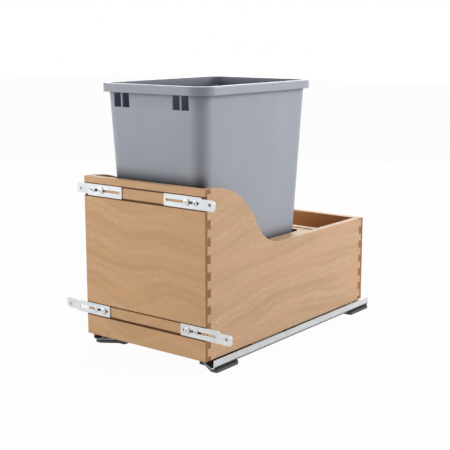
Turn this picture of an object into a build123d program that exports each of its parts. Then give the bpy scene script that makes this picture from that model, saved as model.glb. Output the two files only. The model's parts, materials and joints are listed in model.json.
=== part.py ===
"""Pull-out trash cabinet: a dovetailed wooden box on soft-close slides that carries one plastic bin.

Millimetres. +Z is up, the door side faces -Y, and +X is the right-hand side seen from the door.
The origin is on the cabinet floor, at the middle of the footprint of the closed unit.
"""

import os
from math import cos, radians, tan

from build123d import *

os.makedirs("parts", exist_ok=True)

# ---------------------------------------------------------------- driving dimensions
# wooden box
box_width = 301.0
box_depth = 560.0
front_height = 317.5
side_height = 186.0
board = 16.0
edge_round = 1.5

# ogee that steps the sides down from the front board to the low rear part
shoulder_start = 21.0
shoulder_radius = 156.0
shoulder_angle = 62.0

# half-blind dovetails
dovetail_lap = 6.5
pin_pitch = 31.75
pin_width = 16.5
pin_slope = 9.0

# bottom panel, deck around the bin, divider and cleats
panel_thickness = 12.0
panel_rise = 13.0
groove_depth = 6.0
deck_thickness = 12.0
deck_drop = 1.5
divider_front = 380.0
divider_dado = 5.0
cleat_width = 16.0
cleat_height = 20.0
cleat_chamfer = 2.0
deck_cut_gap = 3.4
deck_cut_radius = 14.0

# dadoes in the front board and the door brackets that slide in them
dado_height = 23.6
dado_depth = 3.0
upper_dado_drop = 25.75
lower_dado_centre = 52.25
plate_length = 119.0
plate_height = 23.0
plate_thickness = 2.0
plate_gap = 0.1
plate_corner = 1.5
tab_start = 88.0
tab_drop = 3.0
tab_corner = 6.5
slot_start = 4.8
slot_length = 78.0
slot_width = 4.8
door_hole_place = 107.3
door_hole_diameter = 5.0
upper_plate_inset = 97.8
lower_plate_inset = 59.9

# screws that clamp the door brackets, and the flanged bushings behind the outer ones
bracket_head_diameter = 12.0
pan_screw_inset = 43.5
pan_head_height = 3.0
clamp_screw_inset = 23.5
clamp_head_height = 1.6
head_edge_chamfer = 0.6
screw_shank_diameter = 4.0
screw_depth = 11.0
screw_fit = 0.05
recess_width = 3.6
recess_slot = 1.2
recess_depth = 1.2
bushing_flange_diameter = 22.0
bushing_flange_thickness = 3.0
bushing_body_diameter = 12.0
bushing_depth = 8.0

# bin
bin_centre = 202.0
rim_side_inset = 16.5
rim_half_depth = 183.6
rim_height = 15.9
rim_overhang = 11.7
bin_height = 471.0
bin_draft = 2.6
bin_corner = 28.1
bin_wall = 2.6
bin_base_fillet = 9.0
rim_round = 2.4
window_width = 17.8
window_rib = 3.3
window_height = 28.6
left_windows_centre = -76.0
right_windows_centre = 69.5

# slides
slide_width = 43.5
slide_outset = 5.0
slide_start = 19.0
slide_length = 564.5
member_height = 16.8
member_inner_height = 14.5
member_bend = 3.0
box_clearance = 1.4
member_nose = 8.0
member_bevel = 20.5
sheet = 1.5
side_gap = 0.3
drawer_member_width = 22.0
drawer_member_outer_skirt = 17.0
drawer_member_inner_skirt = 11.0
roller_diameter = 8.5
roller_length = 11.0
roller_gap = 0.3
roller_pitch = 36.0
rollers_per_cage = 6
rail_width = 15.0
rail_length = 540.0
rail_corner = 2.0
rail_inner_corner = 1.0
cage_gap = 0.4
cage_wall = 1.2
cage_skin = 0.9
cage_wrap = 3.4
cage_end = 12.0
cage_start = 150.0
stop_height = 15.0
hook_height = 14.0
hook_diameter = 5.6
hook_reach = 10.0
hook_fit = 0.2

# soft-close dampers
damper_size = 14.0
damper_length = 190.0
damper_rear_gap = 93.5
damper_bore_depth = 95.0
damper_corner = 3.0
plunger_diameter = 4.0
plunger_length = 8.0
plunger_rod_length = 63.0
pusher_length = 12.0
pusher_height = 13.0
driver_width = 10.0

# locking clips and release levers under the front of the box
clip_length = 46.0
clip_width = 28.0
clip_height = 7.5
clip_corner = 3.0
lever_thickness = 3.0
lever_gap = 0.3
lever_pivot_diameter = 4.0
lever_pivot_fit = 0.05
lever_pivot_place = 27.0
lever_arm = 9.0
lever_nose_place = 9.0
lever_nose_width = 5.4
lever_nose_reach = 2.0
lever_notch_length = 14.0
lever_notch_shift = 1.5

# feet
foot_height = 8.3
foot_flange = 5.8
front_foot_length = 69.0
rear_foot_length = 76.0
foot_start = 25.0
foot_nose = 14.0
foot_outset = 1.5
foot_corner = 5.0
lug_length = 48.0
lug_reach = 59.5
floor_hole_inset = 8.0
floor_hole_diameter = 5.0
floor_hole_counterbore = 9.0
floor_hole_counterbore_depth = 2.5
slide_screw_diameter = 3.5
slide_screw_head = 6.6
slide_screw_head_height = 1.2
slide_screw_depth = 5.0
slide_screw_inset = 11.5
slide_screw_spacing = 50.0

# small wood screws of the cleats and the clips
wood_screw_diameter = 3.5
wood_screw_head = 7.0
countersink_angle = 90.0
cleat_screw_length = 25.0
cleat_screws_per_side = 3
cleat_screw_margin = 50.0
clip_screw_length = 14.0
clip_screw_spacing = 15.0

# ---------------------------------------------------------------- derived places
box_lift = foot_height + member_height + box_clearance
box_half_width = box_width / 2
inner_half_width = box_half_width - board
plate_face_recess = dado_depth - plate_gap - plate_thickness
head_proud = pan_head_height + plate_gap - plate_face_recess
slide_rear = slide_start + slide_length
front = (head_proud - slide_rear) / 2
front_inside = front + board
back = front + box_depth
back_inside = back - board
front_top = box_lift + front_height
upper_dado_centre = front_height - upper_dado_drop
upper_plate_inner_end = box_half_width - upper_plate_inset
lower_plate_inner_end = box_half_width - lower_plate_inset
pan_screw_place = box_half_width - pan_screw_inset
clamp_screw_place = box_half_width - clamp_screw_inset
side_top = box_lift + side_height
panel_bottom = box_lift + panel_rise
panel_top = panel_bottom + panel_thickness
deck_top = side_top - deck_drop
deck_bottom = deck_top - deck_thickness
divider_face = front + divider_front
slide_outer = box_half_width + slide_outset
track_floor = foot_height + sheet
drawer_member_outer = inner_half_width - side_gap
drawer_member_inner = drawer_member_outer - drawer_member_width
rail_centre = drawer_member_outer - drawer_member_width / 2
drawer_member_roof = panel_bottom - sheet
roller_space = roller_diameter + 2 * roller_gap
rail_bottom = track_floor + roller_space
rail_top = drawer_member_roof - roller_space
slide_front = front + slide_start
damper_front = front + slide_rear - damper_rear_gap - damper_length
bin_base = panel_top
bin_top = bin_base + bin_height
rim_bottom = bin_top - rim_height
rim_half_width = box_half_width - rim_side_inset
body_half_width = rim_half_width - rim_overhang
body_half_depth = rim_half_depth - rim_overhang
hook_centre = panel_bottom + hook_height / 2
plate_back = front + dado_depth - plate_gap
plate_face = plate_back - plate_thickness
head_seat = plate_face - plate_gap
clip_top = panel_bottom
clip_bottom = clip_top - clip_height
lever_top = clip_bottom - lever_gap
lever_bottom = lever_top - lever_thickness
clip_front = front_inside + side_gap
clip_outer = drawer_member_inner - side_gap
clip_centre_y = clip_front + clip_length / 2
lever_pivot_x = clip_outer - clip_width / 2
lever_pivot_y = clip_front + lever_pivot_place
cleat_face = inner_half_width - cleat_width
cleat_screw_height = deck_bottom - cleat_height / 2
cleat_screw_first = front_inside + cleat_screw_margin
cleat_screw_step = (divider_face - cleat_screw_margin - cleat_screw_first) / (cleat_screws_per_side - 1)
RIGHT, LEFT = 1, -1
MINIMUM = (Align.MIN, Align.MIN)

# places of the screws on the right-hand side
cleat_screw_rows = [cleat_screw_first + index * cleat_screw_step for index in range(cleat_screws_per_side)]
clip_screw_row = clip_front + clip_corner + wood_screw_head / 2
clip_screw_columns = [lever_pivot_x + side * clip_screw_spacing / 2 for side in (LEFT, RIGHT)]
slide_screw_x = slide_outer - slide_screw_inset
foot_middles = [
    front + foot_start + front_foot_length / 2,
    front + slide_rear - rear_foot_length / 2,
]
slide_screw_spots = [
    (slide_screw_x, middle + side * slide_screw_spacing / 2)
    for middle in foot_middles
    for side in (LEFT, RIGHT)
]
bracket_screw_spots = [
    (side, box_lift + dado_centre)
    for side in (LEFT, RIGHT)
    for dado_centre in (upper_dado_centre, lower_dado_centre)
]


def finish(part, name):
    """Label a finished piece and write its STEP file."""
    part.label = name
    export_step(part, f"parts/{name}.step")


def mirror_piece(part, name):
    """Write the left-hand twin of a right-hand piece."""
    with BuildPart() as twin:
        mirror(part, about=Plane.YZ)
    finish(twin.part, name)
    return twin.part


# ---------------------------------------------------------------- shared profiles
def pin_heights(board_height):
    """Heights of the pin centres above the lower edge of a board of this height."""
    count = int((board_height + pin_width / 2) // pin_pitch) + 1
    return [index * pin_pitch for index in range(count)]


def pin_outlines(lap_line, baseline, board_height, mode=Mode.ADD):
    """Trapezoid pins on the side plane, wide at the baseline and narrow at the lap."""
    flare = abs(baseline - lap_line) / 2 * tan(radians(pin_slope))
    narrow = pin_width / 2 - flare
    wide = pin_width / 2 + flare
    for height in pin_heights(board_height):
        centre = box_lift + height
        Polygon(
            (lap_line, centre - narrow),
            (lap_line, centre + narrow),
            (baseline, centre + wide),
            (baseline, centre - wide),
            align=None,
            mode=mode,
        )


def cut_panel_groove():
    """Cut the groove that holds the bottom panel out of a board."""
    with BuildSketch(Plane.XY.offset(panel_bottom)) as groove:
        with Locations((0, (front_inside + back_inside) / 2)):
            Rectangle(
                2 * (inner_half_width + groove_depth),
                back_inside - front_inside + 2 * groove_depth,
            )
    extrude(groove.sketch, amount=panel_thickness, mode=Mode.SUBTRACT)


def board_ends(outer_face, inner_face, board_height):
    """Half-blind ends of a cross board: remove all between its pins behind the lap."""
    lap_line = outer_face + dovetail_lap * (1 if inner_face > outer_face else -1)
    for plane in (Plane.YZ.offset(inner_half_width), Plane.YZ.offset(-box_half_width)):
        with BuildSketch(plane) as tails:
            with Locations(((lap_line + inner_face) / 2, box_lift + board_height / 2)):
                Rectangle(board - dovetail_lap, board_height)
            pin_outlines(lap_line, inner_face, board_height, mode=Mode.SUBTRACT)
        extrude(tails.sketch, amount=board, mode=Mode.SUBTRACT)


def bin_section(height, inset, corner, mode=Mode.ADD):
    """Rounded outline of the tapered bin at a height, moved in by inset or out where it is negative."""
    narrowing = (rim_bottom - height) * tan(radians(bin_draft)) + inset
    with Locations((0, front + bin_centre)):
        RectangleRounded(
            2 * (body_half_width - narrowing),
            2 * (body_half_depth - narrowing),
            corner,
            mode=mode,
        )


# ---------------------------------------------------------------- wooden box
with BuildPart() as front_board:
    with BuildSketch(Plane.XZ.offset(-front)):
        with Locations((0, box_lift + front_height / 2)):
            Rectangle(box_width, front_height)
    extrude(amount=-board)
    fillet(front_board.faces().sort_by(Axis.Z)[-1].edges().filter_by(Axis.X), edge_round)
    board_ends(front, front_inside, front_height)
    cut_panel_groove()
    for dado_centre in (upper_dado_centre, lower_dado_centre):
        with BuildSketch(Plane.XZ.offset(-front)):
            with Locations((0, box_lift + dado_centre)):
                Rectangle(box_width, dado_height)
        extrude(amount=-dado_depth, mode=Mode.SUBTRACT)
        for place, diameter, depth in (
            (pan_screw_place, screw_shank_diameter, screw_depth),
            (clamp_screw_place, screw_shank_diameter, screw_depth),
            (clamp_screw_place, bushing_body_diameter, bushing_depth),
            (clamp_screw_place, bushing_flange_diameter, bushing_flange_thickness),
        ):
            with BuildSketch(Plane.XZ.offset(-(front + dado_depth))):
                with Locations(*[(side * place, box_lift + dado_centre) for side in (LEFT, RIGHT)]):
                    Circle(diameter / 2 + screw_fit)
            extrude(amount=-depth, mode=Mode.SUBTRACT)

with BuildPart() as back_board:
    with BuildSketch(Plane.XZ.offset(-back)):
        with Locations((0, box_lift + side_height / 2)):
            Rectangle(box_width, side_height)
    extrude(amount=board)
    fillet(back_board.faces().sort_by(Axis.Z)[-1].edges().filter_by(Axis.X), edge_round)
    board_ends(back, back_inside, side_height)
    cut_panel_groove()
    # notches that let the slides run out under the box, and the holes for their rear hooks
    notch_width = inner_half_width - drawer_member_inner + side_gap
    for side in (LEFT, RIGHT):
        with BuildSketch(Plane.XZ.offset(-back)):
            with Locations((side * (inner_half_width - notch_width / 2), box_lift + panel_rise / 2)):
                Rectangle(notch_width, panel_rise)
        extrude(amount=board, mode=Mode.SUBTRACT)
        with BuildSketch(Plane.XZ.offset(-back)):
            with Locations((side * rail_centre, hook_centre)):
                Circle(hook_diameter / 2 + hook_fit)
        extrude(amount=hook_reach + hook_fit, mode=Mode.SUBTRACT)

with BuildPart() as side_board_right:
    side_start = front + dovetail_lap
    side_end = back - dovetail_lap
    with BuildSketch(Plane.YZ.offset(inner_half_width)):
        with BuildLine():
            top = Line((side_start, front_top), (front + shoulder_start, front_top))
            crest = JernArc(top @ 1, top % 1, shoulder_radius, -shoulder_angle)
            drop_left = (crest @ 1).Y - side_top
            valley_radius = drop_left / (1 - cos(radians(shoulder_angle)))
            valley = JernArc(crest @ 1, crest % 1, valley_radius, shoulder_angle)
            Polyline(
                valley @ 1,
                (side_end, side_top),
                (side_end, box_lift),
                (side_start, box_lift),
                top @ 0,
            )
        make_face()
    extrude(amount=board)
    top_edges = side_board_right.edges().filter_by(
        lambda edge: edge.center().Z > side_top - edge_round and abs((edge % 0).X) < 1e-6
    )
    long_edges = top_edges.filter_by(lambda edge: edge.length > board and abs((edge % 0).Z) < 1)
    fillet([edge for edge in long_edges if edge.center().Y > front + board], edge_round)
    with BuildSketch(Plane.YZ.offset(inner_half_width)):
        pin_outlines(front + dovetail_lap, front_inside, front_height)
        pin_outlines(back - dovetail_lap, back_inside, side_height)
    extrude(amount=board, mode=Mode.SUBTRACT)
    cut_panel_groove()
    with BuildSketch(Plane.XY.offset(panel_top)):
        with Locations((inner_half_width, divider_face)):
            Rectangle(divider_dado, board, align=MINIMUM)
    extrude(amount=side_top - panel_top, mode=Mode.SUBTRACT)
    with BuildSketch(Plane.YZ.offset(inner_half_width)):
        with Locations(*[(row, cleat_screw_height) for row in cleat_screw_rows]):
            Circle(wood_screw_diameter / 2 + screw_fit)
    extrude(amount=cleat_screw_length - cleat_width + screw_fit, mode=Mode.SUBTRACT)

with BuildPart() as bottom_panel:
    with BuildSketch(Plane.XY.offset(panel_bottom)):
        with Locations((0, (front_inside + back_inside) / 2)):
            Rectangle(
                2 * (inner_half_width + groove_depth),
                back_inside - front_inside + 2 * groove_depth,
            )
    extrude(amount=panel_thickness)
    with BuildSketch(Plane.XY.offset(panel_bottom)):
        for side in (LEFT, RIGHT):
            with Locations(*[(side * column, clip_screw_row) for column in clip_screw_columns]):
                Circle(wood_screw_diameter / 2 + screw_fit)
    extrude(amount=clip_screw_length - clip_height + screw_fit, mode=Mode.SUBTRACT)

with BuildPart() as bin_platform:
    with BuildSketch(Plane.XY.offset(deck_bottom)):
        with Locations((0, (front_inside + divider_face) / 2)):
            Rectangle(2 * inner_half_width, divider_face - front_inside)
        bin_section(deck_top, -deck_cut_gap, deck_cut_radius, mode=Mode.SUBTRACT)
    extrude(amount=deck_thickness)
    cut_rim = bin_platform.faces().sort_by(Axis.Z)[-1].inner_wires()[0].edges()
    fillet(cut_rim, edge_round)

with BuildPart() as divider_board:
    with BuildSketch(Plane.XY.offset(panel_top)):
        with Locations((0, divider_face + board / 2)):
            Rectangle(2 * (inner_half_width + divider_dado), board)
    extrude(amount=side_top - panel_top)

# ---------------------------------------------------------------- cleats under the deck
with BuildPart() as platform_cleat_right:
    with BuildSketch(Plane.XZ.offset(-front_inside)) as cleat_section:
        with Locations((cleat_face, deck_bottom - cleat_height)):
            Rectangle(cleat_width, cleat_height, align=MINIMUM)
        lower_inner = cleat_section.vertices().group_by(Axis.Y)[0].sort_by(Axis.X)[0]
        chamfer(lower_inner, cleat_chamfer)
    extrude(amount=front_inside - divider_face)
    with Locations(
        *[Location((cleat_face, row, cleat_screw_height), (0, -90, 0)) for row in cleat_screw_rows]
    ):
        CounterSinkHole(
            wood_screw_diameter / 2 + screw_fit,
            wood_screw_head / 2 + screw_fit,
            cleat_width,
            counter_sink_angle=countersink_angle,
        )


def countersunk_screw(length):
    """Countersunk wood screw: head face on the origin, point along +Z, with a cross recess."""
    head_height = (wood_screw_head - wood_screw_diameter) / 2 / tan(radians(countersink_angle / 2))
    with BuildPart() as screw:
        with BuildSketch(Plane.XZ):
            with BuildLine():
                Polyline(
                    (0, 0),
                    (wood_screw_head / 2, 0),
                    (wood_screw_diameter / 2, head_height),
                    (wood_screw_diameter / 2, length - wood_screw_diameter / 2),
                    (0, length),
                    close=True,
                )
            make_face()
        revolve(axis=Axis.Z)
        with BuildSketch(Plane.XY):
            Rectangle(recess_width, recess_slot)
            Rectangle(recess_slot, recess_width)
        extrude(amount=recess_depth, mode=Mode.SUBTRACT)
    return screw.part


with BuildPart() as cleat_screws_right:
    with Locations(
        *[Location((cleat_face, row, cleat_screw_height), (0, 90, 0)) for row in cleat_screw_rows]
    ):
        add(countersunk_screw(cleat_screw_length))

with BuildPart() as cleat_screws:
    add(cleat_screws_right.part)
    mirror(cleat_screws_right.part, about=Plane.YZ)

# ---------------------------------------------------------------- bin
with BuildPart() as bin_body:
    for height in (bin_base, rim_bottom):
        with BuildSketch(Plane.XY.offset(height)):
            bin_section(height, 0, bin_corner)
    loft(ruled=True)
    fillet(bin_body.faces().sort_by(Axis.Z)[0].edges(), bin_base_fillet)
    # turned-down rim around the mouth
    with BuildSketch(Plane.XY.offset(rim_bottom)):
        bin_section(rim_bottom, -rim_overhang, bin_corner + rim_overhang)
    extrude(amount=rim_height)
    with BuildSketch(Plane.XY.offset(rim_bottom)):
        bin_section(rim_bottom, bin_wall - rim_overhang, bin_corner + rim_overhang - bin_wall)
        bin_section(rim_bottom, 0, bin_corner, mode=Mode.SUBTRACT)
    extrude(amount=rim_height - bin_wall, mode=Mode.SUBTRACT)
    fillet(bin_body.faces().sort_by(Axis.Z)[-1].edges(), rim_round)
    # hollow inside
    with BuildSketch(Plane.XY.offset(rim_bottom)):
        bin_section(rim_bottom, bin_wall, bin_corner - bin_wall)
    extrude(amount=rim_height, mode=Mode.SUBTRACT)
    for height in (bin_base + bin_wall, rim_bottom):
        with BuildSketch(Plane.XY.offset(height)):
            bin_section(height, bin_wall, bin_corner - bin_wall)
    loft(ruled=True, mode=Mode.SUBTRACT)
    bin_floor = bin_body.faces().filter_by(Axis.Z).sort_by(Axis.Z)[1]
    fillet(bin_floor.edges(), bin_base_fillet - bin_wall)
    # pairs of windows under the rim at the front
    window_front = front + bin_centre - rim_half_depth + bin_wall
    window_reach = rim_overhang + bin_corner
    for pair_centre in (left_windows_centre, right_windows_centre):
        for side in (LEFT, RIGHT):
            window_centre = pair_centre + side * (window_width + window_rib) / 2
            with BuildSketch(Plane.XZ.offset(-window_front)):
                with Locations((window_centre, rim_bottom - window_height / 2)):
                    Rectangle(window_width, window_height)
            extrude(amount=-window_reach, mode=Mode.SUBTRACT)

# ---------------------------------------------------------------- door brackets


def bracket_outline(inner_end):
    """A slotted plate that points outwards, stepped down on its upper edge at the tab."""
    half = plate_height / 2
    with BuildSketch(Plane.XZ.offset(-plate_back)) as outline:
        with BuildLine():
            Polyline(
                (inner_end, -half),
                (inner_end, half),
                (inner_end + tab_start, half),
                (inner_end + tab_start + tab_drop, half - tab_drop),
                (inner_end + plate_length, half - tab_drop),
                (inner_end + plate_length, -half),
                close=True,
            )
        make_face()
        fillet(outline.vertices().sort_by(Axis.X)[:2], plate_corner)
        fillet(outline.vertices().sort_by(Axis.X)[-2:], tab_corner)
        with Locations((inner_end + slot_start + slot_length / 2, 0)):
            SlotOverall(slot_length, slot_width, mode=Mode.SUBTRACT)
        with Locations((inner_end + door_hole_place, 0)):
            Circle(door_hole_diameter / 2, mode=Mode.SUBTRACT)
    return outline.sketch


for level, dado_centre, inner_end in (
    ("upper", upper_dado_centre, upper_plate_inner_end),
    ("lower", lower_dado_centre, lower_plate_inner_end),
):
    dado_z = box_lift + dado_centre
    with BuildPart() as bracket_right:
        extrude(bracket_outline(inner_end), amount=plate_thickness)
    right_plate = bracket_right.part.moved(Location((0, 0, dado_z)))
    left_plate = bracket_right.part.rotate(Axis.Y, 180).moved(Location((0, 0, dado_z)))
    finish(right_plate, f"door_bracket_{level}_right")
    finish(left_plate, f"door_bracket_{level}_left")

shank_end = front + dado_depth + screw_depth - screw_fit


def bracket_screw_group(place, head_height):
    """Screws with round heads, one in each bracket slot, with a cross recess."""
    spots = [(side * place, height) for side, height in bracket_screw_spots]
    with BuildSketch(Plane.XZ.offset(-head_seat)) as heads:
        with Locations(*spots):
            Circle(bracket_head_diameter / 2)
    extrude(heads.sketch, amount=head_height)
    with BuildSketch(Plane.XZ.offset(-head_seat)) as shanks:
        with Locations(*spots):
            Circle(screw_shank_diameter / 2)
    extrude(shanks.sketch, amount=head_seat - shank_end)
    with BuildSketch(Plane.XZ.offset(head_height - head_seat)) as recesses:
        with Locations(*spots):
            Rectangle(recess_width, recess_slot)
            Rectangle(recess_slot, recess_width)
    extrude(recesses.sketch, amount=-recess_depth, mode=Mode.SUBTRACT)


def head_rims(screws):
    """Outer edges of the round heads, on the side away from the plate."""
    return screws.faces().filter_by(Axis.Y).group_by(Axis.Y)[0].edges().filter_by(GeomType.CIRCLE)


with BuildPart() as bracket_pan_screws:
    bracket_screw_group(pan_screw_place, pan_head_height)
    chamfer(head_rims(bracket_pan_screws), head_edge_chamfer)

with BuildPart() as bracket_clamp_screws:
    bracket_screw_group(clamp_screw_place, clamp_head_height)
    chamfer(head_rims(bracket_clamp_screws), head_edge_chamfer)

with BuildPart() as bracket_bushings:
    bushing_spots = [(side * clamp_screw_place, height) for side, height in bracket_screw_spots]
    for diameter, depth in (
        (bushing_flange_diameter, bushing_flange_thickness),
        (bushing_body_diameter, bushing_depth),
    ):
        with BuildSketch(Plane.XZ.offset(-(front + dado_depth))):
            with Locations(*bushing_spots):
                Circle(diameter / 2)
        extrude(amount=-depth)
    with BuildSketch(Plane.XZ.offset(-(front + dado_depth))):
        with Locations(*bushing_spots):
            Circle(screw_shank_diameter / 2 + screw_fit)
    extrude(amount=-bushing_depth, mode=Mode.SUBTRACT)

# ---------------------------------------------------------------- slides, right hand
with BuildPart() as cabinet_member_right:
    with BuildSketch(Plane.XZ.offset(-slide_front)):
        with BuildLine() as member_path:
            FilletPolyline(
                (slide_outer - sheet / 2, foot_height + member_height),
                (slide_outer - sheet / 2, foot_height + sheet / 2),
                (slide_outer - slide_width + sheet / 2, foot_height + sheet / 2),
                (slide_outer - slide_width + sheet / 2, foot_height + member_inner_height),
                radius=member_bend,
            )
        trace(member_path.line, line_width=sheet)
    extrude(amount=-slide_length)
    # the inner front corner is cut off at a slant
    member_inner = slide_outer - slide_width
    with BuildSketch(Plane.XY.offset(foot_height)):
        Polygon(
            (slide_outer - member_nose, slide_front),
            (member_inner, slide_front + member_bevel),
            (member_inner, slide_front),
            align=None,
        )
    extrude(amount=member_height, mode=Mode.SUBTRACT)
    # rear stop, bent up from the floor of the member
    with BuildSketch(Plane.XY.offset(track_floor)):
        with Locations((rail_centre, front + slide_rear - sheet / 2)):
            Rectangle(rail_width, sheet)
    extrude(amount=stop_height)
    # screw holes that hold the member down on its feet
    with BuildSketch(Plane.XY.offset(foot_height)):
        with Locations(*slide_screw_spots):
            Circle(slide_screw_diameter / 2 + screw_fit)
    extrude(amount=sheet, mode=Mode.SUBTRACT)

with BuildPart() as slide_rail_right:
    with BuildSketch(Plane.XZ.offset(-slide_front)):
        with Locations((rail_centre, (rail_bottom + rail_top) / 2)):
            RectangleRounded(rail_width, rail_top - rail_bottom, rail_corner)
            RectangleRounded(
                rail_width - 2 * sheet,
                rail_top - rail_bottom - 2 * sheet,
                rail_inner_corner,
                mode=Mode.SUBTRACT,
            )
    extrude(amount=-rail_length)

with BuildPart() as drawer_member_right:
    drawer_member_front = clip_front
    with BuildSketch(Plane.XZ.offset(-drawer_member_front)):
        with BuildLine() as drawer_path:
            FilletPolyline(
                (drawer_member_outer - sheet / 2, panel_bottom - drawer_member_outer_skirt),
                (drawer_member_outer - sheet / 2, panel_bottom - sheet / 2),
                (drawer_member_inner + sheet / 2, panel_bottom - sheet / 2),
                (drawer_member_inner + sheet / 2, panel_bottom - drawer_member_inner_skirt),
                radius=sheet,
            )
        trace(drawer_path.line, line_width=sheet)
    extrude(amount=drawer_member_front - back - side_gap)
    # rear hook: a tab behind the back board with a pin that reaches into it
    with BuildSketch(Plane.XZ.offset(-(back + side_gap))):
        with Locations((rail_centre, drawer_member_roof)):
            Rectangle(rail_width, hook_height + sheet, align=(Align.CENTER, Align.MIN))
    extrude(amount=-sheet)
    with BuildSketch(Plane.XZ.offset(-(back + side_gap))):
        with Locations((rail_centre, hook_centre)):
            Circle(hook_diameter / 2)
    extrude(amount=hook_reach + side_gap)
    # driver tab that pushes the damper as the box closes
    driver_bottom = track_floor + pusher_height / 2
    with BuildSketch(Plane.XZ.offset(-(damper_front - plunger_length - pusher_length - side_gap))):
        with Locations((drawer_member_outer - sheet, driver_bottom)):
            Rectangle(
                driver_width,
                panel_bottom - drawer_member_outer_skirt - driver_bottom + sheet,
                align=MINIMUM,
            )
    extrude(amount=sheet)
    # notch in the inner skirt that the release lever snaps into
    with BuildSketch(Plane.YZ.offset(drawer_member_inner)):
        notch_middle = lever_pivot_y + lever_nose_place + lever_notch_shift
        with Locations((notch_middle, (lever_bottom + lever_top) / 2)):
            Rectangle(lever_notch_length, lever_thickness + 2 * lever_gap)
    extrude(amount=sheet, mode=Mode.SUBTRACT)


# roller carriages between the members
cage_length = (rollers_per_cage - 1) * roller_pitch + 2 * cage_end
cage_half_width = rail_width / 2 + cage_gap + cage_wall
carriage_middle = slide_front + cage_start + cage_length / 2
roller_spots = [
    carriage_middle + (index - (rollers_per_cage - 1) / 2) * roller_pitch
    for index in range(rollers_per_cage)
]


def build_cage(skin_bottom, skin_top, cheek_bottom, cheek_top):
    """Roller cage: a slab with one pocket for each roller, and cheeks beside the rail."""
    with BuildSketch(Plane.XZ.offset(cage_length / 2 - carriage_middle)) as section:
        with Locations((rail_centre, (skin_bottom + skin_top) / 2)):
            Rectangle(2 * cage_half_width, skin_top - skin_bottom)
        for side in (LEFT, RIGHT):
            cheek_x = rail_centre + side * (cage_half_width - cage_wall / 2)
            with Locations((cheek_x, (cheek_bottom + cheek_top) / 2)):
                Rectangle(cage_wall, cheek_top - cheek_bottom)
    extrude(section.sketch, amount=-cage_length)
    with BuildSketch(Plane.XY.offset(skin_bottom)) as pockets:
        with Locations(*[(rail_centre, spot) for spot in roller_spots]):
            Rectangle(roller_length + 2 * roller_gap, roller_space)
    extrude(pockets.sketch, amount=skin_top - skin_bottom, mode=Mode.SUBTRACT)


def build_rollers(axis_height):
    """Steel rollers that lie across the slide at the pockets of a cage."""
    with BuildSketch(Plane.YZ.offset(rail_centre - roller_length / 2)) as rollers:
        with Locations(*[(spot, axis_height) for spot in roller_spots]):
            Circle(roller_diameter / 2)
    extrude(rollers.sketch, amount=roller_length)


with BuildPart() as lower_cage_right:
    build_cage(
        track_floor + cage_skin,
        rail_bottom - cage_skin,
        track_floor + cage_skin,
        rail_bottom + cage_wrap,
    )

with BuildPart() as lower_rollers_right:
    build_rollers(track_floor + roller_space / 2)

with BuildPart() as upper_cage_right:
    build_cage(
        rail_top + cage_skin,
        drawer_member_roof - cage_skin,
        rail_top - cage_wrap,
        drawer_member_roof - cage_skin,
    )

with BuildPart() as upper_rollers_right:
    build_rollers(rail_top + roller_space / 2)

# ---------------------------------------------------------------- soft-close damper, right hand
damper_middle = (slide_outer - sheet + drawer_member_outer) / 2
damper_axis = track_floor + damper_size / 2

with BuildPart() as damper_right:
    with BuildSketch(Plane.XZ.offset(-damper_front)):
        with Locations((damper_middle, damper_axis)):
            RectangleRounded(damper_size, damper_size, damper_corner)
    extrude(amount=-damper_length)
    with BuildSketch(Plane.XZ.offset(-damper_front)):
        with Locations((damper_middle, damper_axis)):
            Circle(plunger_diameter / 2 + screw_fit)
    extrude(amount=-damper_bore_depth, mode=Mode.SUBTRACT)

with BuildPart() as damper_plunger_right:
    with BuildSketch(Plane.XZ.offset(-(damper_front - plunger_length))):
        with Locations((damper_middle, damper_axis)):
            Circle(plunger_diameter / 2)
    extrude(amount=-(plunger_length + plunger_rod_length))
    with BuildSketch(Plane.XZ.offset(-(damper_front - plunger_length))):
        with Locations((damper_middle, track_floor + pusher_height / 2)):
            RectangleRounded(damper_size, pusher_height, damper_corner)
    extrude(amount=pusher_length)

# ---------------------------------------------------------------- locking clip and release lever
with BuildPart() as locking_clip_right:
    with BuildSketch(Plane.XY.offset(clip_bottom)):
        with Locations((clip_outer - clip_width / 2, clip_centre_y)):
            RectangleRounded(clip_width, clip_length, clip_corner)
    extrude(amount=clip_height)
    with BuildSketch(Plane.XY.offset(clip_bottom)):
        with Locations((lever_pivot_x, lever_pivot_y)):
            Circle(lever_pivot_diameter / 2)
    extrude(amount=-(lever_gap + lever_thickness))
    with Locations(
        *[Location((column, clip_screw_row, clip_bottom), (180, 0, 0)) for column in clip_screw_columns]
    ):
        CounterSinkHole(
            wood_screw_diameter / 2 + screw_fit,
            wood_screw_head / 2 + screw_fit,
            clip_height,
            counter_sink_angle=countersink_angle,
        )

with BuildPart() as release_lever_right:
    with BuildSketch(Plane.XY.offset(lever_bottom)) as lever_outline:
        with BuildLine():
            nose_tip = drawer_member_inner + lever_nose_reach
            nose_front = lever_pivot_y + lever_nose_place - lever_nose_width / 2
            nose_rear = nose_front + lever_nose_width
            Polyline(
                (lever_pivot_x - lever_arm, lever_pivot_y - lever_arm),
                (lever_pivot_x - lever_arm, lever_pivot_y + lever_arm),
                (lever_pivot_x + lever_arm, nose_rear),
                (nose_tip, nose_rear),
                (nose_tip, nose_front),
                (lever_pivot_x + lever_arm, nose_front - lever_nose_width / 2),
                (lever_pivot_x + lever_arm, clip_front + clip_corner),
                (lever_pivot_x, clip_front + clip_corner),
                close=True,
            )
        make_face()
        with Locations((lever_pivot_x, lever_pivot_y)):
            Circle(lever_pivot_diameter / 2 + lever_pivot_fit, mode=Mode.SUBTRACT)
    extrude(amount=lever_thickness)

# ---------------------------------------------------------------- feet


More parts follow.
